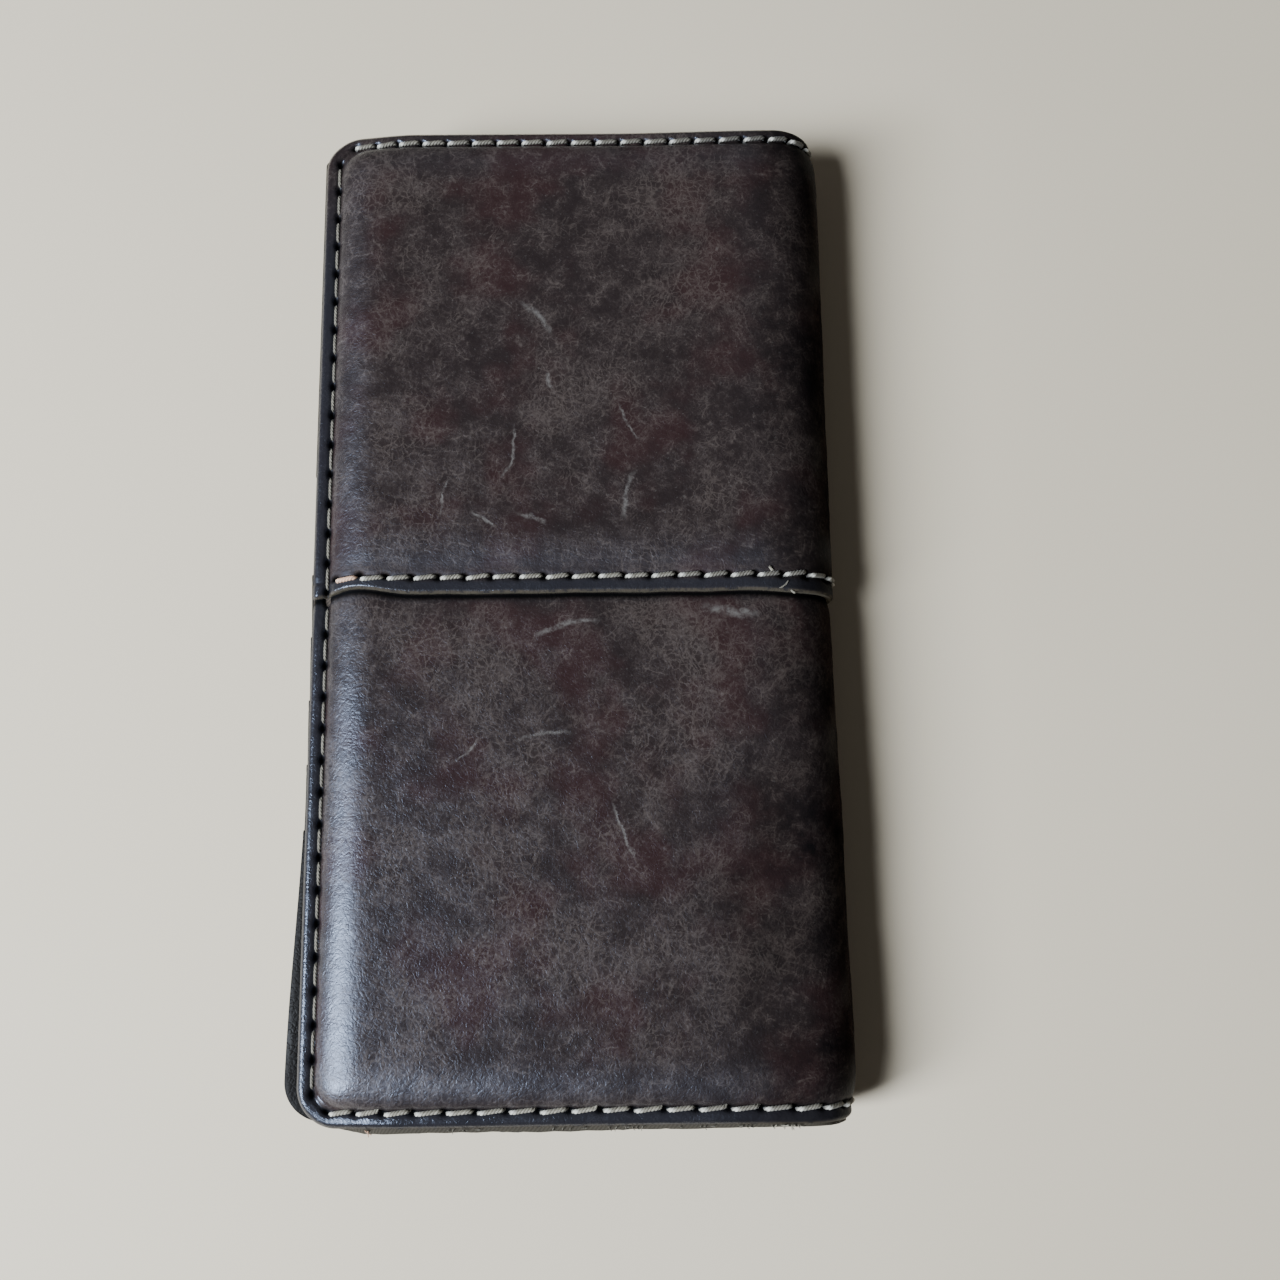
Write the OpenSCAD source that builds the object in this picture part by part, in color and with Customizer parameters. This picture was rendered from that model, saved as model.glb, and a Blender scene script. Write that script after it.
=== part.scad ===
// Long bifold wallet, closed. The back cover lies on the table, the fold is at +X, the far end is at +Y.
// Each half is drawn in a half frame: X and Y as in the row, Z measured outwards from the plane where
// the two halves meet. The front half is that frame moved up, the back half is its mirror image.

/* [Overall] */
// Length of the wallet along its fold
wallet_length = 186; // [182:1:200]
// Width of the front cover, from its open edge to the outside of the fold
front_width = 97; // [94:1:102]
// How far the back cover's open edge stands out past the front cover's
back_overhang = 2; // [0:0.5:4]
// Thickness of the closed wallet
thickness = 19; // [18:0.5:24]
// Corner radius of the covers at their open edge
corner_radius = 7; // [3:0.5:8]

/* [Leather and lining] */
// Thickness of the outer leather of the far panel
leather = 1.7; // [1.5:0.1:2.2]
// How much lower the near panel's face lies beside the lap seam
lap_step = 0.5; // [0.3:0.1:0.7]
// Width of the lap, where the far panel lies on the near panel
lap_width = 8; // [6:1:12]
// Thickness to which both panels are pared in the lap
lap_skive = 0.5; // [0.4:0.1:0.6]
// Thickness of the lining
lining = 0.4; // [0.3:0.1:0.6]

/* [Edges] */
// Width of the flat margin that carries the stitches
margin_width = 3.6; // [3:0.1:5]
// Width of the padded shoulder beside the margin on the open edge
side_shoulder = 9; // [6:0.5:12]
// Width of the padded shoulder beside the margin on both ends
end_shoulder = 8; // [6:0.5:12]
// How much lower the fold's ends are than its middle
fold_end_drop = 1; // [0.5:0.1:1.2]

/* [Card pockets] */
// Thickness of a card slot's leather
slot_leather = 0.8; // [0.6:0.1:0.9]
// Distance from one slot's mouth to the next
slot_pitch = 12; // [10:1:14]
// Height of a slot's leather strip
slot_strip = 17; // [15:1:20]
// Depth of a slot, from its mouth to the foot of its bag
slot_depth = 50; // [46:1:50]
// Thickness of the bill panel
bill_panel_thickness = 0.6; // [0.5:0.1:0.8]

/* [Thread] */
// Length from one stitch to the next
stitch_pitch = 5; // [4:0.5:6]
// Radius of the thread
thread_radius = 0.4; // [0.3:0.05:0.5]
// Distance from the cut edge to the stitches
stitch_inset = 2.2; // [1.8:0.1:2.6]

/* [Hidden] */
half_length = wallet_length / 2;
crown = thickness / 2;                       // outer face of a half, from the meeting plane
fold_x = (front_width + back_overhang) / 2;  // outside of the fold
axis_x = fold_x - crown;                     // where the fold starts to turn
front_edge = fold_x - front_width;
back_edge = front_edge - back_overhang;
lining_inner = leather + lining;             // depth of the lining's inner face below the skin

// Levels inside a half, from the meeting plane outwards
slot_face = 0.3;                             // front face of the slots' mouths
slope_drop = slot_leather / slot_pitch;      // each strip leans back under the next one
bag_level = 2.3;                             // first pocket bag
bag_sheet = 0.2;                             // fabric of one pocket bag
bag_count = 5;
panel_level = bag_level + bag_count * bag_sheet;
margin_height = panel_level + bill_panel_thickness + lining_inner; // skin of the stitched margin
fold_end_height = crown - fold_end_drop;
rise_start = 12;                             // from here on the end margin climbs to the fold
panel_right = axis_x + 4.5;                  // edge of the inner panels beside the fold

// Card slots, in groups. The first slot of a group is the whole front panel of that group
back_slots = 5;
front_slots = 4;                             // in each of the front half's two groups
near_foot = -half_length;
far_foot = -2;
foot_hem = 1;                                // from a front panel's foot to the foot of its bag
function mouths(foot, count) = [for (i = [0:count - 1]) foot + foot_hem + slot_depth + i * slot_pitch];
back_mouths = mouths(near_foot, back_slots);
front_mouths = concat(mouths(near_foot, front_slots), mouths(far_foot, front_slots));
front_panel_lean = 1;                        // how far a front panel leans back at its foot
bag_height = slot_depth - slot_pitch;

// The fold is a chain of strips, with a hinge line at the outer skin between each two
strips = 3;
strip_angle = 180 / (strips + 1);
first_hinge = strip_angle / 2;
gap_angle = 0.9;                             // half of the gap between two strips

groove_y = 2.7;                              // seam stitches, from the lap's edge
groove_width = 1;
groove_depth = 0.7;
seam_thread = 0.35;
stitch_gap = 1;

id_window = [74, 44];
id_centre = [-1, 58];
id_frame_height = 68;
id_film = 0.3;

arc_steps = 6;
far = 300;                                   // beyond everything
over = 1;                                    // how far a cutter runs past what it cuts

leather_brown = [0.24, 0.19, 0.17];
leather_inside = [0.33, 0.23, 0.17];
lining_brown = [0.16, 0.13, 0.12];
bag_black = [0.09, 0.08, 0.08];
thread_cream = [0.72, 0.66, 0.54];

function names(stem, count) = [for (i = [1:count]) str(stem, i)];

// Quarter-ellipse from [start, low], which it leaves upright, to [start + width, high]
function shoulder(start, width, low, high) =
    [for (i = [0:arc_steps]) let (a = 90 * i / arc_steps)
        [start + width * (1 - cos(a)), low + (high - low) * sin(a)]];
function mirrored(points) = [for (i = [len(points) - 1:-1:0]) [-points[i][0], points[i][1]]];
function reversed(points) = [for (i = [len(points) - 1:-1:0]) points[i]];

// One end of a surface that lies `depth` below the skin, as [distance from the middle, height]
function end_curve(depth, end_height) =
    reversed([for (p = shoulder(margin_width + depth, end_shoulder - depth, end_height - depth, crown - depth))
        [half_length - p[0], p[1]]]);

// Height of the stitched margin along an end
function end_margin(x) = x < rise_start ? margin_height
    : min(fold_end_height, margin_height + (crown - margin_height) * (x - rise_start) / (axis_x - rise_start));

// Height of the skin across the open edge's shoulder, at a distance from the edge
function side_height(u) = let (v = (u - margin_width) / side_shoulder)
    v <= 0 ? margin_height : v >= 1 ? crown
    : margin_height + (crown - margin_height) * sqrt(1 - (1 - v) * (1 - v));

module along_y(length) rotate([90, 0, 0]) translate([0, 0, -length / 2]) linear_extrude(length) children();
module along_x(length) rotate([90, 0, 90]) translate([0, 0, -length / 2]) linear_extrude(length) children();

// Everything under a surface `depth` below the skin, seen along the fold
module under_side(depth, edge, grow)
    along_y(far) polygon(concat(
        [[edge - grow, -over - grow], [edge - grow, margin_height - depth]],
        shoulder(edge + margin_width + depth, side_shoulder - depth, margin_height - depth, crown - depth),
        [[axis_x + grow, crown - depth], [axis_x + grow, -over - grow]]));

// The same, seen across the fold
module under_ends(depth, end_height, grow)
    let (top = end_curve(depth, end_height), reach = half_length + grow)
    along_x(far) polygon(concat(
        [[reach, -over - grow], [-reach, -over - grow], [-reach, end_height - depth]],
        mirrored(top), top, [[reach, end_height - depth]]));

// Where the end margin climbs towards the fold
module under_rise(depth, grow)
    along_y(far) polygon([
        [-far, -over - grow], [-far, margin_height - depth], [rise_start, margin_height - depth],
        [axis_x, crown - depth], [axis_x + grow, crown - depth], [axis_x + grow, -over - grow]]);

module under_skin(depth, edge, grow = 0) intersection() {
    under_side(depth, edge, grow);
    union() {
        under_ends(depth, margin_height, grow);
        intersection() {
            under_ends(depth, fold_end_height, grow);
            under_rise(depth, grow);
        }
    }
}

// Plan of a cover between two places along the fold, with round corners at the open edge
module plan(edge, from, to) linear_extrude(thickness) intersection() {
    translate([edge, from]) square([far, to - from]);
    union() {
        translate([edge + corner_radius, -half_length]) square([far, wallet_length]);
        translate([edge, corner_radius - half_length]) square([corner_radius * 2, wallet_length - 2 * corner_radius]);
        for (s = [-1, 1]) translate([edge + corner_radius, s * (half_length - corner_radius)])
            circle(corner_radius, $fn = 48);
    }
}

// A curved sheet of a half, between two depths below the skin
module sheet(outer, inner, edge, from, to) intersection() {
    plan(edge, from, to);
    difference() {
        under_skin(outer, edge);
        under_skin(inner, edge, over);
    }
}

// A stretch of the fold. Angle 0 is at the back cover, 180 at the front cover; children are [radius, y]
module turn(start, end) translate([axis_x, 0, 0]) rotate([-90, 0, 0]) rotate([0, 0, 90 - end])
    rotate_extrude(angle = end - start, $fn = 96) children();

// Points [y, radius] of a sheet's far half round the fold, outer face first
function fold_outer(depth) = concat(end_curve(depth, fold_end_height), [[half_length, fold_end_height - depth]]);
function near_side(points) = [for (p = points) [-p[0], p[1]]];
module fold_profile(points) polygon([for (p = points) [p[1], p[0]]]);

module far_section() difference() {
    fold_profile(concat(
        [[0, crown - leather + lap_skive], [0, crown]], fold_outer(0), reversed(fold_outer(leather)),
        [[lap_width, crown - leather], [lap_width, crown - leather + lap_skive]]));
    translate([crown - groove_depth, groove_y - groove_width / 2]) square([leather, groove_width]);
}
module near_section() fold_profile(concat(
    [[lap_width, crown - leather], [lap_width, crown - leather + lap_skive],
     [0, crown - leather + lap_skive], [0, crown - lap_step]],
    near_side(fold_outer(lap_step)), reversed(near_side(fold_outer(leather)))));
module lining_section() fold_profile(concat(
    reversed(near_side(fold_outer(leather))), fold_outer(leather),
    reversed(fold_outer(lining_inner)), near_side(fold_outer(lining_inner))));

// Half frame to row frame
module front_half() translate([0, 0, crown]) children();
module back_half() translate([0, 0, crown]) mirror([0, 0, 1]) children();
// A half's own share of the fold
module half_turn() turn(180 - first_hinge + gap_angle, 180) children();

module far_cover(edge) color(leather_brown) {
    difference() {
        sheet(0, leather, edge, 0, half_length);
        intersection() {
            under_skin(leather - lap_skive, edge, over);
            translate([-far / 2, -over, -over]) cube([far, lap_width + over, thickness]);
        }
        difference() {
            translate([-far / 2, groove_y - groove_width / 2, 0]) cube([far, groove_width, thickness]);
            under_skin(groove_depth, edge, over);
        }
    }
    half_turn() far_section();
}
module near_cover(edge) color(leather_brown) {
    sheet(lap_step, leather, edge, -half_length, 0);
    sheet(leather - lap_skive, leather, edge, 0, lap_width);
    half_turn() near_section();
}
module cover_lining(edge) color(lining_brown) {
    sheet(leather, lining_inner, edge, -half_length, half_length);
    half_turn() lining_section();
}

// Flat panel behind the card slots; the bill pocket lies between it and the lining, open at the fold
module bill_panel(edge) color(leather_inside) intersection() {
    plan(edge, -half_length, half_length);
    translate([edge, -half_length, panel_level])
        cube([panel_right - edge, wallet_length, bill_panel_thickness]);
}

// Fabric bags of one half, one below each slot's mouth
module pocket_bags(edge, mouths) color(bag_black)
    for (i = [0:len(mouths) - 1])
        translate([edge + over, mouths[i] - slot_pitch - bag_height, bag_level + bag_sheet * (i % bag_count)])
            cube([panel_right - edge - 2 * over, bag_height, bag_sheet]);

// Leather strip of one slot, leaning back under the next
module slot_strip_at(edge, mouth) color(leather_inside)
    translate([edge, 0, 0]) along_x_from(panel_right - edge) polygon([
        [mouth, slot_face], [mouth, slot_face + slot_leather],
        [mouth - slot_strip, slot_face + slot_leather + slope_drop * slot_strip],
        [mouth - slot_strip, slot_face + slope_drop * slot_strip]]);
module along_x_from(length) rotate([90, 0, 90]) linear_extrude(length) children();

// Front panel of a group of slots, from its foot to its mouth
module slot_panel_at(edge, foot, mouth) color(leather_inside) intersection() {
    plan(edge, -half_length, half_length);
    translate([edge, 0, 0]) along_x_from(panel_right - edge) polygon([
        [mouth, slot_face], [mouth, slot_face + slot_leather],
        [foot, slot_face + slot_leather + front_panel_lean], [foot, slot_face + front_panel_lean]]);
}

module back_slot(i) back_half()
    if (i == 0) slot_panel_at(back_edge, near_foot, back_mouths[i]);
    else slot_strip_at(back_edge, back_mouths[i]);
module front_slot(i) front_half()
    if (i % front_slots == 0) slot_panel_at(front_edge, i == 0 ? near_foot : far_foot, front_mouths[i]);
    else slot_strip_at(front_edge, front_mouths[i]);

// Leather frame of the identity-card window, and its clear film
module id_frame() color(leather_inside) back_half() intersection() {
    plan(back_edge, -half_length, half_length);
    difference() {
        translate([back_edge, half_length - id_frame_height, panel_level - id_film - slot_leather])
            cube([panel_right - back_edge, id_frame_height, slot_leather]);
        translate([id_centre[0] - id_window[0] / 2, id_centre[1] - id_window[1] / 2, 0])
            cube([id_window[0], id_window[1], crown]);
    }
}
module id_film_sheet() color([0.85, 0.88, 0.9, 0.35]) back_half()
    translate([id_centre[0] - id_window[0] / 2 - 4, id_centre[1] - id_window[1] / 2 - 4, panel_level - id_film])
        cube([id_window[0] + 8, id_window[1] + 8, id_film]);

// One stitch that lies on a surface, centred on the origin and along X
module stitch(radius) rotate([0, 90, 0])
    cylinder(r = radius, h = stitch_pitch - stitch_gap, center = true, $fn = 24);

// Stitches along the open edge and both ends of one half
module edge_stitches(edge) color(thread_cream) {
    side_count = floor((half_length - corner_radius - over) / stitch_pitch);
    for (i = [-side_count:side_count - 1]) let (y = (i + 0.5) * stitch_pitch)
        translate([edge + stitch_inset, y, margin_height + thread_radius - (y < 0 ? lap_step : 0)])
            rotate([0, 0, 90]) stitch(thread_radius);
    first = edge + corner_radius + stitch_pitch / 2;
    for (x = [first:stitch_pitch:axis_x], s = [-1, 1]) let (
        a = end_margin(x - stitch_pitch / 2), b = end_margin(x + stitch_pitch / 2))
        translate([x, s * (half_length - stitch_inset), (a + b) / 2 + thread_radius - (s < 0 ? lap_step : 0)])
            rotate([0, -atan((b - a) / stitch_pitch), 0]) stitch(thread_radius);
}

// Stitches of the lap seam, in their groove
module seam_stitches(edge) color(thread_cream)
    for (x = [edge + margin_width + stitch_pitch / 2:stitch_pitch:axis_x]) let (
        u = x - edge, a = side_height(u - stitch_pitch / 2), b = side_height(u + stitch_pitch / 2))
        translate([x, groove_y, (a + b) / 2 - groove_depth + seam_thread])
            rotate([0, -atan((b - a) / stitch_pitch), 0]) stitch(seam_thread);

module fold_strip(i) translate([0, 0, crown])
    turn(first_hinge + (i - 1) * strip_angle + gap_angle, first_hinge + i * strip_angle - gap_angle) children();

// Stitches in the middle of one strip: two at the ends and one in the seam
module fold_stitches(i) color(thread_cream)
    translate([axis_x, 0, crown]) rotate([0, 90 - i * strip_angle, 0]) {
        for (s = [-1, 1])
            translate([fold_end_height + thread_radius - (s < 0 ? lap_step : 0), s * (half_length - stitch_inset), 0])
                rotate([0, 90, 0]) stitch(thread_radius);
        translate([crown - groove_depth + seam_thread, groove_y, 0]) rotate([0, 90, 0]) stitch(seam_thread);
    }

back_half() far_cover(back_edge);  // far_cover_back
back_half() near_cover(back_edge);  // near_cover_back
back_half() cover_lining(back_edge);  // lining_back
back_half() bill_panel(back_edge);  // bill_panel_back
back_half() pocket_bags(back_edge, back_mouths);  // pocket_bags_back
id_frame();  // id_window_frame
id_film_sheet();  // id_window_film
back_half() edge_stitches(back_edge);  // edge_stitches_back
back_half() seam_stitches(back_edge);  // seam_stitches_back
front_half() far_cover(front_edge);  // far_cover_front
front_half() near_cover(front_edge);  // near_cover_front
front_half() cover_lining(front_edge);  // lining_front
front_half() bill_panel(front_edge);  // bill_panel_front
front_half() pocket_bags(front_edge, front_mouths);  // pocket_bags_front
front_half() edge_stitches(front_edge);  // edge_stitches_front
front_half() seam_stitches(front_edge);  // seam_stitches_front
for (i = [0:len(back_mouths) - 1])
    back_slot(i);
for (i = [0:len(front_mouths) - 1])
    front_slot(i);
for (i = [1:strips]) {
    color(leather_brown) fold_strip(i) far_section();
    color(leather_brown) fold_strip(i) near_section();
    color(lining_brown) fold_strip(i) lining_section();
    fold_stitches(i);
}
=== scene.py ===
import math

import bpy
import numpy as np
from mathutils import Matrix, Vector


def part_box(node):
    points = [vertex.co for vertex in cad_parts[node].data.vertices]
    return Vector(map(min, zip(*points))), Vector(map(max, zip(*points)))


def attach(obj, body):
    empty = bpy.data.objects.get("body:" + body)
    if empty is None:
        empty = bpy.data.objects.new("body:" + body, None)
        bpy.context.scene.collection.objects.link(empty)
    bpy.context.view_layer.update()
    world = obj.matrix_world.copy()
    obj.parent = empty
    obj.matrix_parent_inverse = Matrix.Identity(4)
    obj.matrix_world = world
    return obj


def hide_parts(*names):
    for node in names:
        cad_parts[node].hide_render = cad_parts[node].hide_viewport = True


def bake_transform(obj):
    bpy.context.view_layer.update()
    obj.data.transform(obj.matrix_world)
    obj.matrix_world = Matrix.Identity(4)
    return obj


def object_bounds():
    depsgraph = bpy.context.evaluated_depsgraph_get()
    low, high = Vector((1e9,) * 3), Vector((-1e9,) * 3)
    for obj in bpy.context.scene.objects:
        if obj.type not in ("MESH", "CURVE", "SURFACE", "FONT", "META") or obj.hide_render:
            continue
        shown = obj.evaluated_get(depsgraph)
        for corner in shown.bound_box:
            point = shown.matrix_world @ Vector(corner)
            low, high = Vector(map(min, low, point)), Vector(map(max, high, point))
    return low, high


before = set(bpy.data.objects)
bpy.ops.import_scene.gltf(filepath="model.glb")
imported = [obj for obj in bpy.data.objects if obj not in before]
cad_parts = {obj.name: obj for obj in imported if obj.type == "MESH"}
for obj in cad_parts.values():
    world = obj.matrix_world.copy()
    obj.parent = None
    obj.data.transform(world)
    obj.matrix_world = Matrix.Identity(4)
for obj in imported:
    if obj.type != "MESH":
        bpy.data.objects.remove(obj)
CAD_LOW, CAD_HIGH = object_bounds()

# ---------------------------------------------------------------- sizes
# Lengths are in millimetres, and MM turns them into metres. A half lies flat on each side of the fold.
MM = 0.001


def low_mm(node):
    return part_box(node)[0] / MM


def high_mm(node):
    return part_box(node)[1] / MM


HALF_LENGTH = high_mm("far_cover_back").y
BACK_EDGE = low_mm("far_cover_back").x
FRONT_EDGE = low_mm("far_cover_front").x
CROWN = CAD_HIGH.z / MM / 2              # outer face of a half, from the plane where the halves meet
FOLD_X = CAD_HIGH.x / MM
AXIS_X = FOLD_X - CROWN                  # where the fold starts to turn
FOLD_ARC = CROWN * math.pi / 2           # skin from there to the middle of the fold

MARGIN = 6.0          # skin height of the stitched margin at the open edge
MARGIN_MIDDLE = 7.7   # of the end margins, a little further in
FOLD_END = CROWN - 1  # skin height of the fold's ends
FIRST_RISE = (2, 18)  # distances from the open edge between which the end margins climb to the middle height
LAST_RISE = (8, 38)   # x between which they climb to the fold's ends
CORNER = 7.0
LEATHER = 1.7
LINING = 0.4
PARED = 0.55          # thickness of the near panel's tongue
LAP_EDGE = 1.15       # thickness of the far panel at its lap edge
LAP_TONGUE = 8.0
GROOVE = 2.75         # from the cut edge to the stitches
MARGIN_WIDTH = 3.1    # from the cut edge to the foot of the padded shoulder
SIDE_SHOULDER = 9.5
END_SHOULDER = 7.5
SEAM_ROW = 2.9
STRAND = 0.25         # radius of one of a thread's three strands
BACK_SKEW = 1.75      # how far the back's near corner is pulled out
FLARE = 1.0           # how far the fold's near end is pushed out
LEDGE = 1.05          # how far the lining's edge sticks out at the near end
GRID = 0.5            # spacing of the leather's mesh
PANEL_LEVEL = 3.3     # bill panel's inner face, from the plane where the halves meet
PANEL = 0.6
SLOT = 0.72           # thickness of a card slot's leather
SLOT_LEATHER = 0.8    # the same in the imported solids
SLOT_FACE = 0.3
SLOT_PITCH = 12
BAG_HEIGHT = 38

BAG_SHORTER = 3       # the lowest bag stops this far above its solid, inside the rounded corner
FILM_LAP = 4          # how far the film reaches under the window's frame
CORNER_FADE = 16      # distance from the open edge over which the corners' bend in the grid fades out
HOLE = 0.62           # radius of the stitch holes

rng = np.random.default_rng(7)    # draws the loose fibres, the rough cut edges and each stitch's variation


# ---------------------------------------------------------------- small maths
def smooth(a, b, t):
    t = np.clip((t - a) / (b - a), 0, 1)
    return t * t * (3 - 2 * t)


def bump(distance, width):
    return np.exp(-((distance / width) ** 2))


def noise(x, y, size, seed):
    """Smooth random field between about -1 and 1, with features of that size."""
    table = np.random.default_rng(seed).uniform(-1, 1, (256, 256))
    gx, gy = x / size + 1000, y / size + 1000
    ix, iy = np.floor(gx).astype(int), np.floor(gy).astype(int)
    fx, fy = gx - ix, gy - iy
    fx, fy = fx * fx * (3 - 2 * fx), fy * fy * (3 - 2 * fy)

    def at(i, j):
        return table[i % 256, j % 256]

    near = at(ix, iy) * (1 - fx) + at(ix + 1, iy) * fx
    far = at(ix, iy + 1) * (1 - fx) + at(ix + 1, iy + 1) * fx
    return near * (1 - fy) + far * fy


def unit(vectors):
    return vectors / np.maximum(np.linalg.norm(vectors, axis=-1, keepdims=True), 1e-12)


def steps(*stretches):
    """Grid lines through stretches of (end, spacing) from a start. Each stretch has a multiple of 3 cells."""
    start, lines = stretches[0], [np.array([stretches[0]])]
    for end, spacing in stretches[1:]:
        count = 3 * max(1, math.ceil(abs(end - start) / spacing / 3))
        lines.append(np.linspace(start, end, count + 1)[1:])
        start = end
    return np.concatenate(lines)


# ---------------------------------------------------------------- the skin
# The skin is unrolled: s runs from the back cover's open edge (negative), round the fold (0 in its
# middle), to the front cover's open edge (positive), and y runs along the fold.
def edge_of(s):
    return np.where(s < 0, BACK_EDGE, FRONT_EDGE)


def flat_x(s):
    """x of the flat part of a half, before the corners are rounded; beyond AXIS_X inside the fold."""
    return AXIS_X - (np.abs(s) - FOLD_ARC)


def corner_shift(v):
    """How far a rounded corner's outline lies in from the open edge, at distance v from the end."""
    t = np.clip(CORNER - v, 0, CORNER)
    return CORNER - np.sqrt(CORNER**2 - t**2)


def rounded(x, y, edge):
    """x of grid lines that bend with the rounded corners near the open edge."""
    fade = np.clip(1 - (x - edge) / CORNER_FADE, 0, 1) ** 1.2
    return x + corner_shift(HALF_LENGTH - np.abs(y)) * fade


def place_x(s, y):
    return rounded(flat_x(s), y, edge_of(s))


def rim_distance(x, y, edge):
    """Distance to the nearest cut edge, round the corners as well."""
    u, v = x - edge, HALF_LENGTH - np.abs(y)
    cu, cv = CORNER - u, CORNER - v
    return np.where((cu > 0) & (cv > 0), CORNER - np.hypot(cu, cv), np.minimum(u, v))


def pillow(u, v):
    """0 on the margins, rising over the shoulders to 1."""
    a = np.clip(1 - (u - MARGIN_WIDTH) / SIDE_SHOULDER, 0, 1)
    b = np.clip(1 - (v - MARGIN_WIDTH) / END_SHOULDER, 0, 1)
    total = a**3.2 + b**3.2
    q = np.clip(total ** (1 / 3.2), 0, 1)
    side = a**3.2 / np.maximum(total, 1e-6)        # 1 along the open edge, 0 along the ends
    return (1 - q ** (2.8 - 0.75 * side)) ** (1 / (1.75 - 0.4 * side))


class Row:
    """A row of stitches from first to last: along s at y = at, or along y at that distance from the front
    cover's open edge (the back cover's, where it is less than 0). Each stitch leans across the row, is sunk
    in the groove, has a painted highlight on its end on the side that left gives (0 for none), and is dirty
    up to 1."""

    def __init__(self, along, at, first, last, pitch, lean=0.0, width=1.0, sunk=0.0, left=0, dirt=0.0):
        self.along, self.at, self.lean, self.width = along, at, lean, width
        self.sunk, self.left, self.dirt = sunk, left, dirt
        self.count = max(1, round((last - first) / pitch))
        self.pitch = (last - first) / self.count
        self.first = first

    def offsets(self, s, y, x):
        """(distance across the row, distance along it to the nearest hole) of skin points."""
        if self.along == "s":
            along, across = s, y - self.at
        else:
            same_side = np.sign(s) == np.sign(-self.at)
            along, across = y, np.where(same_side, 99, x - edge_of(s) - abs(self.at))
        k = np.clip(np.round((along - self.first) / self.pitch), 0, self.count)
        return across, along - self.first - k * self.pitch


S_BACK = -(FOLD_ARC + AXIS_X - BACK_EDGE)
S_FRONT = FOLD_ARC + AXIS_X - FRONT_EDGE
ENDS = (S_BACK + 4.4, S_FRONT - 4.4)
SIDE = (0.9, HALF_LENGTH - 5.6)
OPEN_STITCH = {"pitch": 5.6, "width": 0.6, "sunk": 0.27, "dirt": 0.45}
ROWS = {
    "far": Row("s", HALF_LENGTH - GROOVE + 0.4, *ENDS, 4.85, lean=0.1, width=0.9, sunk=0.02, left=-1,
               dirt=0.62),
    "near": Row("s", -HALF_LENGTH + GROOVE, *ENDS, 5.35, lean=0.11, width=0.88, left=-1, dirt=0.22),
    "seam": Row("s", SEAM_ROW, *ENDS, 4.85, lean=0.11, width=0.9, left=-1, dirt=0.4),
}
for half_name, half_sign in (("front", 1), ("back", -1)):
    ROWS[f"open_{half_name}_far"] = Row("y", half_sign * GROOVE, *SIDE, **OPEN_STITCH)
    ROWS[f"open_{half_name}_near"] = Row("y", half_sign * GROOVE, -SIDE[1], -SIDE[0], **OPEN_STITCH)
EDGE_ROWS = [name for name in ROWS if name != "seam"]


def stitch_dents(s, y, x):
    """How far the thread pulls the skin in, and the shade painted in the holes."""
    dent, hole = np.zeros_like(s), np.zeros_like(s)
    for row in ROWS.values():
        across, along = row.offsets(s, y, x)
        dent += 0.7 * bump(np.hypot(across, along * 0.8), HOLE)
        pucker = 0.5 + 0.5 * np.cos(2 * np.pi * along / row.pitch)
        dent += 0.07 * pucker * np.exp(-np.abs(across) / 1.6)
        hole = np.maximum(hole, bump(np.hypot(across * 1.1, along * 0.75), HOLE))
    return dent, np.clip(hole * 1.3, 0, 1)


def skin_height(s, x, y):
    """Height of the skin above the plane where the halves meet (or its radius, in the fold), smooth."""
    u, v = x - edge_of(s), HALF_LENGTH - np.abs(y)
    low = MARGIN + (MARGIN_MIDDLE - MARGIN) * smooth(*FIRST_RISE, u)
    low = low + (FOLD_END - MARGIN_MIDDLE) * smooth(*LAST_RISE, x)
    return low + (CROWN - low) * pillow(u, v)


def wrinkles(s, y):
    fold = np.exp(-((s / 24) ** 2))
    sway = 0.15 * noise(s, y, 19, 1) + 0.06 * noise(s, y, 8, 2)
    fine = 0.022 * noise(s, y, 2.4, 3) + 0.012 * noise(s, y, 1.1, 4)
    ripple = 0.07 * fold * noise(s * 0.25 + 0.3 * y, y, 2.6, 5)
    return sway + fine + ripple


def lap_drop(y):
    """How far the near panel's skin lies below the far panel's."""
    return np.where(y < 0, 0.45 + (LAP_EDGE - 0.35) * np.exp(np.minimum(y, 0) / 3.0), LAP_EDGE + 0.1)


def seat(s):
    """How far the seam's stitches sit deeper on the back, which the wallet lies on."""
    return 0.68 * smooth(4, -8, s)


def lap_line(s, y):
    """Moves the lap's edge: it bows away from the open edge's corner and droops towards the fold."""
    u = S_FRONT - s
    bow = 1.1 * np.exp(-(((u - 9) / 6) ** 2)) - 0.5 * smooth(80, 92, u)
    bow = bow + 0.15 * noise(s, y * 0, 6, 8)
    return y + bow * np.exp(-((y / 5) ** 2))


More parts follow.
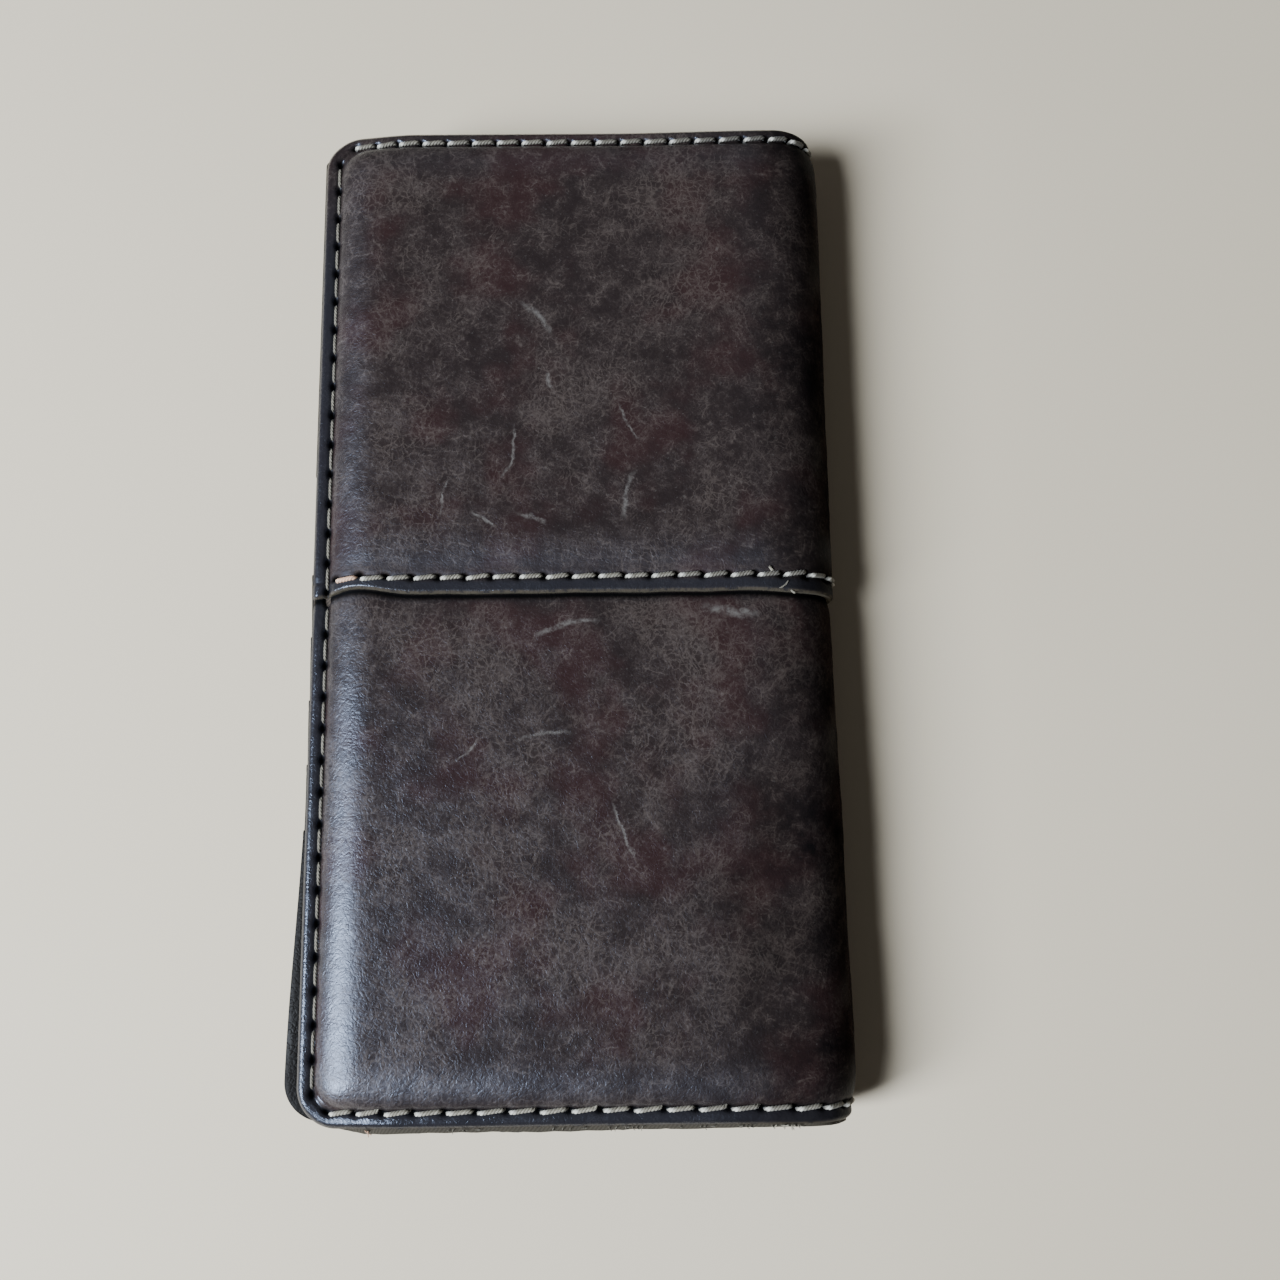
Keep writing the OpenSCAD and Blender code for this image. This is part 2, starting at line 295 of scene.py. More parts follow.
def skin_parts(s, y, near):
    """(x in a half, height or radius, distance to the cut edge, painted shade in the holes) of a panel's
    skin.
    """
    x = place_x(s, y)
    rim = rim_distance(x, y, edge_of(s))
    dent, hole = stitch_dents(s, y, x)
    smooth_height = skin_height(s, x, y)
    height = smooth_height + wrinkles(s, y) * smooth(0.5, 7, rim) - dent
    height -= 0.42 * bump(rim - GROOVE, 0.5) + 0.8 * np.clip(1 - rim / 1.05, 0, 1) ** 2
    if near:
        height -= lap_drop(y)
        height = np.where(y > 0, smooth_height - lap_drop(y), height)
    else:
        band = np.clip(1 - y / SEAM_ROW, 0, 1)
        height -= 0.3 * bump(y - SEAM_ROW, 0.55) + 0.5 * seat(s) * bump(y - SEAM_ROW, 0.9)
        height += (0.10 + 0.14 * noise(s, y * 0, 9, 6)) * band - 0.4 * np.clip(1 - y / 0.55, 0, 1) ** 2
        height -= 0.45 * band * smooth(4.5, 1.5, x - edge_of(s))
    return x, np.minimum(height, CROWN + 0.12 * (s > 0)), rim, hole


def skewed(x, y):
    """The back's near corner stands out a little, the rest of its open edge lies a little in."""
    pull = 0.5 * smooth(25, -5, y) - (BACK_SKEW + 0.5) * smooth(-32, -90, y)
    return x + pull * np.clip(1 - (x - BACK_EDGE) / 60, 0, 1)


def to_space(s, y, x, height):
    """Skin coordinates to the row frame, in mm."""
    angle = np.clip(s / FOLD_ARC, -1, 1) * math.pi / 2
    folded = np.abs(s) < FOLD_ARC
    flat = np.where(s < 0, skewed(x, y), x)
    px = np.where(folded, AXIS_X + height * np.cos(angle), flat)
    px = px + FLARE * smooth(0, -HALF_LENGTH, y) * np.clip((x - 10) / 30, 0, 1)
    pz = CROWN + np.where(folded, height * np.sin(angle), np.sign(s) * height)
    return np.stack([px, y, pz], -1)


def skin(s, y, near):
    """The skin's points, rim distances and painted shade in the holes."""
    x, height, rim, hole = skin_parts(s, y, near)
    return to_space(s, lap_line(s, y), x, height), rim, hole


def smooth_skin(s, y):
    """The skin without dents, wrinkles or lap, and its outward normal."""
    def at(s, y):
        x = place_x(s, y)
        return to_space(s, y, x, skin_height(s, x, y))

    h = 0.05
    ds, dy = at(s + h, y) - at(s - h, y), at(s, y + h) - at(s, y - h)
    return at(s, y), unit(np.cross(dy, ds))


def grid_normals(points):
    return unit(np.cross(np.gradient(points, axis=1), np.gradient(points, axis=0)))


# ---------------------------------------------------------------- meshes
def new_object(name, points, faces, materials, face_material=None, smooth_faces=True):
    """points in mm. faces are lists of indices."""
    mesh = bpy.data.meshes.new(name)
    mesh.from_pydata((np.asarray(points) * MM).tolist(), [], faces)
    for m in materials:
        mesh.materials.append(m)
    if face_material is not None:
        mesh.polygons.foreach_set("material_index", np.asarray(face_material, np.int32))
    mesh.polygons.foreach_set("use_smooth", np.full(len(mesh.polygons), smooth_faces))
    mesh.update()
    made = bpy.data.objects.new(name, mesh)
    bpy.context.scene.collection.objects.link(made)
    return made


def point_values(piece, name, values, kind="FLOAT"):
    layer = piece.data.attributes.new(name, kind, "POINT")
    field = "vector" if kind == "FLOAT_VECTOR" else "value"
    layer.data.foreach_set(field, np.asarray(values, np.float32).ravel())


def outer_normals(piece, normals, count):
    """Gives the first `count` points' corners on skin faces these normals, and leaves the rest."""
    mesh = piece.data
    loops = np.zeros(len(mesh.loops), np.int32)
    mesh.loops.foreach_get("vertex_index", loops)
    sizes = np.zeros(len(mesh.polygons), np.int32)
    mesh.polygons.foreach_get("loop_total", sizes)
    lowest = np.maximum.reduceat(loops, np.concatenate([[0], np.cumsum(sizes)[:-1]]))
    on_skin = np.repeat(lowest < count, sizes)
    out = np.zeros((len(loops), 3))
    out[on_skin] = normals[loops[on_skin]]
    mesh.normals_split_custom_set(out.tolist())


def grid_faces(rows, columns, start=0, flip=False):
    i, j = np.meshgrid(np.arange(rows - 1), np.arange(columns - 1), indexing="ij")
    a = (start + i * columns + j).ravel()
    quads = np.stack([a, a + 1, a + columns + 1, a + columns], -1)
    return quads[:, ::-1] if flip else quads


def border(rows, columns, start=0):
    """Indices round a grid's border, in the turning direction of its faces."""
    index = start + np.arange(rows * columns).reshape(rows, columns)
    return np.concatenate([index[0, :-1], index[:-1, -1], index[-1, :0:-1], index[:0:-1, 0]])


def shell(name, outer, inner, materials, attributes, normals, rim_rows=2, rim_rough=0.0):
    """Closed solid between a fine outer grid and an inner grid with the same lines; of the inner grid only
    every third line is kept. The walls between them are the cut edge, with the second material."""
    nu, nv = outer.shape[:2]
    points = [outer.reshape(-1, 3)]
    faces = [grid_faces(nu, nv, 0)]
    kinds = [np.zeros(len(faces[0]), int)]
    coarse = inner[::3, ::3]
    ring_out = border(nu, nv)
    ring_in = inner.reshape(-1, 3)[ring_out]
    total, last = nu * nv, ring_out
    wall = np.roll(ring_out, -1)
    for k in range(1, rim_rows + 1):
        t = k / (rim_rows + 1)
        row = points[0][ring_out] * (1 - t) + ring_in * t
        if rim_rough:
            row = row + rng.normal(0, rim_rough, row.shape)
        points.append(row)
        here = total + np.arange(len(ring_out))
        quads = np.stack([last, here, np.roll(here, -1), np.roll(last, -1)], -1)
        faces.append(quads)
        kinds.append(np.ones(len(quads), int))
        total += len(here)
        last = here
    points.append(coarse.reshape(-1, 3))
    back = grid_faces(*coarse.shape[:2], total, flip=True)
    faces.append(back)
    kinds.append(np.full(len(back), 2))
    ring_back = border(*coarse.shape[:2], total)
    many = []
    for k in range(len(ring_back)):
        fine = [last[(3 * k + i) % len(last)] for i in range(4)]
        many.append([*fine[::-1], ring_back[k], ring_back[(k + 1) % len(ring_back)]])
    all_faces = [f for group in faces for f in group.tolist()] + many
    kinds = np.concatenate([*kinds, np.ones(len(many), int)])
    points = np.concatenate(points)
    made = new_object(name, points, all_faces, materials, np.minimum(kinds, len(materials) - 1))
    for key, (values, kind) in attributes.items():
        values = np.asarray(values)
        flat = values.reshape(nu * nv, -1)
        rims = [flat[ring_out]] * rim_rows
        inside = values[::3, ::3].reshape(-1, flat.shape[1])
        point_values(made, key, np.concatenate([flat, *rims, inside]), kind)
    outer_normals(made, normals.reshape(-1, 3), nu * nv)
    return made


def on_skin(s, y, fields):
    """A shell's attributes: its place on the unrolled skin or in the plan, in metres, and named fields."""
    values = {"skin": (np.stack([s, y, 0 * s], -1) * MM, "FLOAT_VECTOR")}
    values.update((key, (field, "FLOAT")) for key, field in fields.items())
    return values


# ---------------------------------------------------------------- materials
class Nodes:
    """Short names for the shader nodes that the materials share."""

    def __init__(self, name):
        self.material = bpy.data.materials.new(name)
        self.material.use_nodes = True
        self.tree = self.material.node_tree
        self.bsdf = self.tree.nodes["Principled BSDF"]

    def add(self, kind, **settings):
        node = self.tree.nodes.new("ShaderNode" + kind)
        for key, value in settings.items():
            setattr(node, key, value)
        return node

    def link(self, value, socket):
        if isinstance(value, bpy.types.NodeSocket):
            self.tree.links.new(value, socket)
        else:
            socket.default_value = value

    def attribute(self, name, output="Fac"):
        return self.add("Attribute", attribute_name=name).outputs[output]

    def math(self, operation, a, b=0.0):
        node = self.add("Math", operation=operation)
        self.link(a, node.inputs[0])
        self.link(b, node.inputs[1])
        return node.outputs[0]

    def times(self, value, *factors):
        for factor in factors:
            value = self.math("MULTIPLY", value, factor)
        return value

    def plus(self, a, b):
        return self.math("ADD", a, b)

    def minus(self, a, b):
        return self.math("SUBTRACT", a, b)

    def larger(self, a, b):
        return self.math("MAXIMUM", a, b)

    def vector(self, operation, a, b=(0, 0, 0)):
        node = self.add("VectorMath", operation=operation)
        self.link(a, node.inputs[0])
        self.link(b, node.inputs[1])
        return node.outputs["Value" if operation == "DOT_PRODUCT" else "Vector"]

    def noise(self, place, scale, detail=4.0, roughness=0.55, distortion=0.0, output=0):
        node = self.add("TexNoise")
        self.link(place, node.inputs["Vector"])
        node.inputs["Scale"].default_value = scale
        node.inputs["Detail"].default_value = detail
        node.inputs["Roughness"].default_value = roughness
        node.inputs["Distortion"].default_value = distortion
        return node.outputs[output]

    def cells(self, place, scale):
        """Distance to the edge of Voronoi cells."""
        node = self.add("TexVoronoi", feature="DISTANCE_TO_EDGE")
        self.link(place, node.inputs["Vector"])
        node.inputs["Scale"].default_value = scale
        return node.outputs["Distance"]

    def ramp(self, value, *stops):
        """stops are (position, colour)."""
        node = self.add("ValToRGB")
        self.link(value, node.inputs[0])
        marks = node.color_ramp.elements
        while len(marks) < len(stops):
            marks.new(0.5)
        for mark, (position, colour) in zip(marks, stops):
            mark.position = position
            mark.color = (*colour, 1)
        return node.outputs[0]

    def span(self, value, low, high, out_low=0.0, out_high=1.0):
        """Smoothly from out_low to out_high while the value goes from low to high."""
        node = self.add("MapRange", interpolation_type="SMOOTHSTEP")
        self.link(value, node.inputs[0])
        for socket, number in zip(list(node.inputs)[1:5], (low, high, out_low, out_high)):
            socket.default_value = number
        return node.outputs[0]

    def mix(self, factor, a, b):
        """Colour a where the factor is 0, colour b where it is 1."""
        node = self.add("Mix", data_type="RGBA")
        self.link(factor, node.inputs[0])
        self.link(a, node.inputs[6])
        self.link((*b, 1), node.inputs[7])
        return node.outputs[2]

    def bump(self, height, strength, distance):
        node = self.add("Bump")
        node.inputs["Strength"].default_value = strength
        node.inputs["Distance"].default_value = distance
        self.link(height, node.inputs["Height"])
        return node.outputs[0]

    def finish(self, colour, roughness, normal=None, **fixed):
        self.link(colour, self.bsdf.inputs["Base Color"])
        self.link(roughness, self.bsdf.inputs["Roughness"])
        if normal is not None:
            self.link(normal, self.bsdf.inputs["Normal"])
        for key, value in fixed.items():
            self.link(value, self.bsdf.inputs[key.replace("_", " ")])
        return self.material


def scratch(n, place, start, end, bow, width):
    """A curved scratch from start to end, in mm on the unrolled skin: 1 on it, 0 beside it."""
    start, end = Vector((*start, 0)), Vector((*end, 0))
    along = end - start
    length = along.length
    along.normalize()
    across = Vector((-along.y, along.x, 0))
    local = n.vector("SUBTRACT", place, tuple(start * MM))
    t = n.math("DIVIDE", n.vector("DOT_PRODUCT", local, tuple(along)), length * MM)
    side = n.vector("DOT_PRODUCT", local, tuple(across))
    arc = n.times(t, n.minus(1.0, t), 4 * bow * MM)
    off = n.math("ABSOLUTE", n.minus(side, arc))
    body = n.span(off, 0.0, width * MM, 1.0, 0.0)
    ends = n.span(n.math("ABSOLUTE", n.minus(t, 0.5)), 0.2, 0.52, 1.0, 0.0)
    return n.times(body, ends)


SCRATCHES = [  # start and end as (s, y) in mm, bow, width
    ((64.0, 56.7), (57.9, 49.2), -0.8, 0.9), ((65.2, 33.2), (67.7, 20.8), -1.3, 0.45),
    ((45.6, 36.5), (41.4, 28.3), 0.5, 0.35), ((42.2, 22.8), (44.7, 12.9), 1.1, 0.7),
    ((73.0, 15.5), (68.2, 12.2), 0.3, 0.5), ((62.0, -9.0), (48.9, -5.1), -1.0, 0.7),
    ((64.6, -27.4), (53.9, -25.4), -0.9, 0.5), ((47.1, -37.0), (42.7, -48.7), 0.8, 0.4),
    ((76.4, -30.8), (70.8, -26.6), 0.5, 0.35), ((59.2, 42.2), (58.1, 38.6), 0.1, 0.8),
    ((64.6, 14.4), (58.7, 12.5), -0.4, 0.6), ((31.1, -2.6), (19.9, -4.6), 0.5, 1.2),
    ((78.5, 13.6), (76.4, 22.2), -0.8, 0.35),
]


def creases(n, place, degrees, scale, mask):
    """Long fine lines that run in one direction."""
    turned = n.add("VectorRotate", rotation_type="Z_AXIS")
    n.link(place, turned.inputs["Vector"])
    turned.inputs["Angle"].default_value = math.radians(-degrees)
    field = n.noise(n.vector("MULTIPLY", turned.outputs[0], (0.16, 1.0, 1.0)), scale, 4, 0.55, 0.3)
    line = n.span(n.math("ABSOLUTE", n.minus(field, 0.5)), 0.0, 0.016, 1.0, 0.0)
    return n.times(line, mask, 0.9)


MARGIN_FADE = (0.0024, 0.0040)     # rim distances in metres between which the margin's finish ends


def cover_leather():
    n = Nodes("worn_cover_leather")
    place = n.attribute("skin", "Vector")
    rim = n.attribute("rim")
    hole = n.attribute("hole")
    fold_shade_field = n.attribute("stain")
    drift = n.vector("SUBTRACT", n.noise(place, 260, 4, 0.65, output=1), (0.5, 0.5, 0.5))
    bent = n.vector("ADD", place, n.vector("MULTIPLY", drift, (0.0028, 0.0028, 0.0)))
    frayed = n.vector("SUBTRACT", n.noise(place, 1400, 3, 0.6, output=1), (0.5, 0.5, 0.5))
    bent = n.vector("ADD", bent, n.vector("MULTIPLY", frayed, (0.0006, 0.0006, 0.0)))
    patches = n.noise(place, 40, 7, 0.66)
    mottle = n.noise(place, 190, 8, 0.74)
    specks = n.noise(place, 1500, 4, 0.7)
    colour = n.ramp(mottle, (0.30, (0.0175, 0.0120, 0.0113)), (0.52, (0.0250, 0.0172, 0.0157)),
                    (0.72, (0.0355, 0.0250, 0.0222)))
    red = n.span(n.noise(place, 52, 3, 0.55), 0.47, 0.64)
    colour = n.mix(n.times(red, 0.42), colour, (0.040, 0.0140, 0.0135))
    # light crackle: fine, middle and large cells, each broken up by a patchy mask
    web = 0.0
    for scale, width, mask, strength in ((1300, 0.16, n.span(mottle, 0.42, 0.62), 0.55),
                                         (600, 0.10, n.span(patches, 0.44, 0.60), 0.85),
                                         (260, 0.045, n.span(mottle, 0.46, 0.58), 0.9)):
        web = n.larger(web, n.times(n.span(n.cells(bent, scale), 0.0, width, 1.0, 0.0), mask, strength))
    # hair-like creases, in three directions
    for turn, scale, low in ((-62, 300, 0.44), (74, 240, 0.47), (8, 260, 0.5)):
        web = n.larger(web, creases(n, bent, turn, scale, n.span(patches, low, low + 0.12)))
    web = n.times(web, n.span(specks, 0.32, 0.58, 0.25, 1.0))
    colour = n.mix(n.times(web, 0.6), colour, (0.118, 0.091, 0.076))
    colour = n.mix(n.times(n.span(specks, 0.58, 0.72), 0.4), colour, (0.12, 0.11, 0.10))
    haze = n.times(n.span(patches, 0.48, 0.74), 0.22)
    colour = n.mix(haze, colour, (0.080, 0.058, 0.049))
    marks = 0.0
    for line in SCRATCHES:
        marks = n.larger(marks, scratch(n, bent, *line))
    marks = n.times(marks, n.span(n.noise(place, 700, 4, 0.7), 0.32, 0.62, 0.08, 0.75))
    colour = n.mix(marks, colour, (0.17, 0.155, 0.14))
    # the stitched margin and the lap's band are darker and smoother
    dark = n.span(rim, 0.0024, 0.0036, 1.0, 0.0)
    dark = n.times(dark, n.attribute("band"))
    colour = n.mix(dark, colour, (0.0190, 0.0185, 0.0225))
    # painted shade: the leather darkens towards the fold, on the side away from the light
    stain = n.times(fold_shade_field, n.span(mottle, 0.3, 0.62, 1.0, 0.55))
    colour = n.mix(stain, colour, (0.0055, 0.0048, 0.005))
    # painted shade in the stitch holes, under the lap's edge and on the tongue beneath it
    colour = n.mix(hole, colour, (0.0015, 0.0015, 0.0015))
    worn = n.times(n.attribute("wear"), n.span(n.noise(place, 420, 5, 0.75), 0.34, 0.56))
    colour = n.mix(worn, colour, (0.115, 0.092, 0.062))
    rough = n.span(mottle, 0.3, 0.75, 0.27, 0.38)
    rough = n.plus(rough, n.times(web, 0.1))
    rough = n.plus(rough, n.span(rim, 0.005, 0.015, 0.05, 0.0))
    rough = n.minus(rough, n.span(rim, *MARGIN_FADE, 0.15, 0.0))
    rough = n.plus(rough, n.larger(n.times(hole, 0.4), n.times(stain, 0.25)))
    height = n.plus(n.times(n.span(n.cells(bent, 1250), 0.0, 0.3), 0.5),
                    n.times(n.span(n.cells(bent, 560), 0.0, 0.16), 0.35))
    height = n.plus(height, n.times(specks, 0.8))
    height = n.plus(height, n.times(marks, -0.8))
    normal = n.bump(height, 0.36, 0.0001)
    matt = n.attribute("matt")
    rough = n.plus(rough, n.times(matt, 0.22))
    # the shoulders beside the margin are polished, and the leather is dull where the shade by the fold is
    # painted
    gloss = n.plus(n.span(fold_shade_field, 0.0, 0.9, 0.36, 0.02), n.span(rim, 0.006, 0.012, 0.56, 0.0))
    gloss = n.times(gloss, n.span(rim, *MARGIN_FADE, 0.6, 1.0), n.span(fold_shade_field, 0.1, 0.8, 1.0, 0.05),
                    n.minus(1.0, n.times(matt, 0.7)), n.span(hole, 0.1, 0.8, 1.0, 0.1))
    return n.finish(colour, rough, normal, Specular_IOR_Level=gloss, Specular_Tint=(0.68, 0.78, 1.0, 1.0))


def cut_edge():
    n = Nodes("worn_cut_edge")
    place = n.attribute("skin", "Vector")
    fibres = n.noise(n.vector("MULTIPLY", place, (1.0, 1.0, 4.0)), 900, 5, 0.7)
    stains = n.noise(place, 130, 4, 0.6)
    colour = n.ramp(fibres, (0.3, (0.022, 0.018, 0.013)), (0.7, (0.095, 0.077, 0.050)))
    colour = n.mix(n.span(stains, 0.40, 0.58), colour, (0.014, 0.012, 0.012))
    colour = n.mix(n.span(n.attribute("pale"), 0.0, 1.0, 0.0, 0.6), colour, (0.115, 0.095, 0.060))
    return n.finish(colour, 0.78, n.bump(fibres, 0.6, 0.0002))


def thread_material():
    n = Nodes("waxed_thread")
    along = n.attribute("strand", "Vector")
    fibres = n.noise(n.vector("MULTIPLY", along, (0.25, 3.0, 1.0)), 2600, 3, 0.6)
    dirt = n.noise(along, 300, 5, 0.7)
    colour = n.ramp(fibres, (0.35, (0.17, 0.145, 0.105)), (0.65, (0.50, 0.455, 0.35)))
    colour = n.mix(n.span(dirt, 0.42, 0.75, 0.0, 0.7), colour, (0.13, 0.11, 0.08))
    # dirt, and painted shade towards the fold on the outer stitches
    colour = n.mix(n.attribute("dirt"), colour, (0.085, 0.075, 0.060))
    # painted highlight on the lit end of each stitch
    colour = n.mix(n.attribute("painted_highlight"), colour, (0.90, 0.86, 0.75))
    colour = n.mix(n.times(n.attribute("peach"), 0.85), colour, (0.86, 0.53, 0.35))
    # painted shade on the thread's underside and ends
    colour = n.mix(n.attribute("hole"), colour, (0.028, 0.022, 0.018))
    return n.finish(colour, 0.6, n.bump(fibres, 0.5, 0.0001), Sheen_Weight=0.15)


def inside_leather():
    n = Nodes("smooth_inside_leather")
    place = n.attribute("skin", "Vector")
    rim = n.attribute("rim")
    mottle = n.noise(place, 60, 6, 0.65)
    grain = n.cells(place, 1300)
    colour = n.ramp(mottle, (0.3, (0.050, 0.030, 0.020)), (0.7, (0.092, 0.056, 0.036)))
    pores = n.span(grain, 0.0, 0.12, 1.0, 0.0)
    colour = n.mix(n.times(pores, 0.35), colour, (0.03, 0.018, 0.012))
    rubbed = n.times(n.attribute("wear"), n.span(n.noise(place, 260, 4, 0.7), 0.3, 0.6))
    colour = n.mix(n.times(rubbed, 0.6), colour, (0.16, 0.11, 0.07))
    colour = n.mix(n.span(rim, 0.0024, 0.0044, 0.97, 0.0), colour, (0.006, 0.0055, 0.0055))
    # painted shade in the holes
    colour = n.mix(n.attribute("hole"), colour, (0.006, 0.005, 0.005))
    height = n.plus(n.span(grain, 0.0, 0.3), n.times(n.noise(place, 900, 3), 0.5))
    rough = n.span(mottle, 0.3, 0.7, 0.42, 0.58)
    gloss = n.span(rim, 0.0024, 0.0044, 0.1, 0.5)
    return n.finish(colour, rough, n.bump(height, 0.4, 0.0001), Specular_IOR_Level=gloss)


def lining_cloth():
    n = Nodes("twill_lining")
    place = n.attribute("skin", "Vector")
    diagonal = n.vector("DOT_PRODUCT", place, (1.0, 1.0, 0.0))
    twill = n.math("SINE", n.times(diagonal, 2 * math.pi / 0.0007))
    threads = n.noise(n.vector("MULTIPLY", place, (1.0, 3.0, 1.0)), 1800, 3, 0.6)
    weave = n.plus(n.times(twill, 0.5), threads)
    colour = n.ramp(weave, (0.0, (0.026, 0.018, 0.013)), (1.0, (0.072, 0.052, 0.038)))
    colour = n.mix(n.span(n.noise(place, 70, 4), 0.45, 0.75, 0.0, 0.4), colour, (0.095, 0.070, 0.050))
    fray = n.times(n.attribute("wear"), n.span(threads, 0.3, 0.6, 0.45, 1.0))
    colour = n.mix(fray, colour, (0.052, 0.043, 0.026))
    return n.finish(colour, 0.85, n.bump(weave, 0.5, 0.0001), Sheen_Weight=0.05)


def clear_film():
    n = Nodes("clear_film")
    place = n.attribute("skin", "Vector")
    haze = n.noise(place, 90, 4, 0.6)
    colour = n.ramp(haze, (0.3, (0.80, 0.83, 0.84)), (0.7, (0.92, 0.94, 0.94)))
    rough = n.span(haze, 0.3, 0.7, 0.03, 0.12)
    waves = n.noise(place, 120, 2)
    return n.finish(colour, rough, n.bump(waves, 0.12, 0.0002), Transmission_Weight=1.0, IOR=1.25)


# ---------------------------------------------------------------- covers
MIDDLES = [math.radians(a) * CROWN for a in (-45, 0, 45)]     # s of the fold strips' middles
ZONES = [(S_BACK, MIDDLES[0]), (MIDDLES[0], MIDDLES[1]), (MIDDLES[1], MIDDLES[2]), (MIDDLES[2], S_FRONT)]
ZONE_NAMES = ["back", "fold_1", "fold_2", "front"]


def zone_lines(k, spacing=GRID, fine=0.28):
    if k == 0:
        return steps(S_BACK, (S_BACK + 4.5, fine), (-FOLD_ARC, spacing), (MIDDLES[0], spacing))
    if k == 3:
        return steps(MIDDLES[2], (FOLD_ARC, spacing), (S_FRONT - 4.5, spacing), (S_FRONT, fine))
    return steps(ZONES[k][0], (ZONES[k][1], spacing))


def corner_lines(sign, spacing=0.34):
    """Lines across a rounded corner, close together where its outline runs along them."""
    count = 3 * math.ceil(CORNER * math.pi / 2 / spacing / 3)
    angle = np.linspace(0, math.pi / 2, count + 1)[1:]
    return sign * (HALF_LENGTH - CORNER + CORNER * np.sin(angle))


def panel_lines(near, spacing=GRID, fine=0.28):
    if near:
        rest = steps(-HALF_LENGTH + CORNER, (-3, spacing), (0, fine), (LAP_TONGUE, 1.0))
        return np.concatenate([corner_lines(-1)[::-1], rest])
    return np.concatenate([steps(0, (4.5, fine), (HALF_LENGTH - CORNER, spacing)), corner_lines(1)])


def turn_with_fold(piece):
    """Bakes the piece's placement into its mesh."""
    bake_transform(piece)


def own_zone(piece, stem, k):
    """The piece stands for the solids of zone k, which are hidden, and its placement is baked into its mesh.
    """
    turn_with_fold(piece)
    nodes = [[stem + "_back"], [stem + "_fold_1"], [stem + "_fold_2"], [stem + "_fold_3", stem + "_front"]]
    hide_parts(*nodes[k])


def joined(lines):
    """The zones' lines in one array, and each zone's slice of it. Neighbours share a line."""
    cuts, start = [], 0
    for line in lines:
        cuts.append(slice(start, start + len(line)))
        start += len(line) - 1
    return np.concatenate([lines[0]] + [line[1:] for line in lines[1:]]), cuts


def panel_thickness(y, near):
    """The near panel is pared towards its tongue, which lies under the far panel."""
    if near:
        return np.where(y > 0, PARED, np.minimum(LEATHER - 0.3, 0.6 + np.maximum(-y, 0) * 0.3))
    return LAP_EDGE + (LEATHER - LAP_EDGE) * smooth(LAP_TONGUE, LAP_TONGUE + 3, y)


def panel_marks(s, y, rim, hole, near):
    """The fields that the leather's colours and gloss follow, painted shade among them."""
    at_end = np.abs(rim - HALF_LENGTH + np.abs(y)) < 0.5
    wear = 0.9 * np.exp(-((np.maximum(rim, 0) / 0.3) ** 2)) * np.where(at_end, 0.6, 0.3)
    margin = rim
    if near:
        # painted shadow: a dark line just under the far panel's lap edge, and full shade on the tongue
        # beneath it
        hole = np.maximum(hole, np.where(y > 0, 1, np.exp(-(((y + 0.45) / 0.9) ** 2))))
    else:
        wear = np.maximum(wear, 0.6 * np.exp(-((y / 0.4) ** 4)))
        margin = np.minimum(rim, 0.9 + y * 0.85)
    # painted shade towards the fold, reaching further onto the cover towards the near end
    reach = 12 + 17 * smooth(-15, -60, y) + 3 * noise(s, y, 25, 11)
    stain = 1.05 * smooth(FOLD_ARC + reach, FOLD_ARC - 6, np.abs(s)) * (0.8 + 0.3 * noise(s, y, 9, 11))
    return {"rim": margin * MM, "hole": hole, "wear": wear, "stain": stain,
            "pale": smooth(1.5, 0, np.abs(y)),
            "band": 0.9 - 0.75 * smooth(HALF_LENGTH - 30, HALF_LENGTH - 4, y),
            "matt": np.exp(-(((y - SEAM_ROW - 0.8) / 2.2) ** 2)) * (0 if near else 1)}


def make_panel(near, materials):
    """The far or the near cover panel, in one piece for each zone of the fold."""
    stem = "near_cover" if near else "far_cover"
    s_all, cuts = joined([zone_lines(k) for k in range(4)])
    s, y = np.meshgrid(s_all, panel_lines(near), indexing="ij")
    outer, rim, hole = skin(s, y, near)
    normals = grid_normals(outer)
    inner = outer - smooth_skin(s, y)[1] * panel_thickness(y, near)[..., None]
    fields = panel_marks(s, y, rim, hole, near)
    for k, cut in enumerate(cuts):
        values = on_skin(s[cut], y[cut], {key: field[cut] for key, field in fields.items()})
        piece = shell(f"{stem}_leather_{ZONE_NAMES[k]}", outer[cut], inner[cut], materials, values,
                      normals[cut], rim_rough=0.03)
        own_zone(piece, stem, k)


def make_lining(material):
    """Cloth glued under the leather. Its edge sticks out from under the leather at the near end."""
    straight = steps(-HALF_LENGTH + CORNER, (HALF_LENGTH - CORNER, 1.2))
    y = np.concatenate([corner_lines(-1, 0.6)[::-1], straight, corner_lines(1, 0.6)[1:]])
    y = y[: 3 * ((len(y) - 1) // 3) + 1]
    y[-1] = HALF_LENGTH
    lines = [zone_lines(k, 0.9, 0.6) for k in range(4)]
    s_all, cuts = joined(lines)
    s, yy = np.meshgrid(s_all, y, indexing="ij")
    x = place_x(s, yy)
    rim = rim_distance(x, yy, edge_of(s))
    height = skin_height(s, x, yy)
    near_end = smooth(-HALF_LENGTH + 3, -HALF_LENGTH, yy)
    reach = near_end * LEDGE * (0.85 + 0.12 * noise(s, 0 * yy, 7, 12) + 0.10 * noise(s, 0 * yy, 0.8, 13))
    reach = reach * smooth(S_BACK, S_BACK + 12, s) * smooth(S_FRONT, S_FRONT - 12, s)
    reach = reach * (0.6 + 0.4 * smooth(10, 75, np.abs(s)))

    def level(depth):
        return to_space(s, yy - reach, x, height - depth + 0.25 * near_end)

    face, under = level(LEATHER + LINING), level(LEATHER + 0.02)
    wear = np.exp(-((np.maximum(rim, 0) / 1.2) ** 2)) * (yy < 0)
    for k, (line, cut) in enumerate(zip(lines, cuts)):
        shown = face[cut][::-1]
        values = on_skin(s[cut][::-1], yy[cut][::-1], {"wear": wear[cut][::-1]})
        piece = shell(f"lining_cloth_{ZONE_NAMES[k]}", shown, under[cut][::-1], [material], values,
                      grid_normals(shown))
        own_zone(piece, "lining", k)


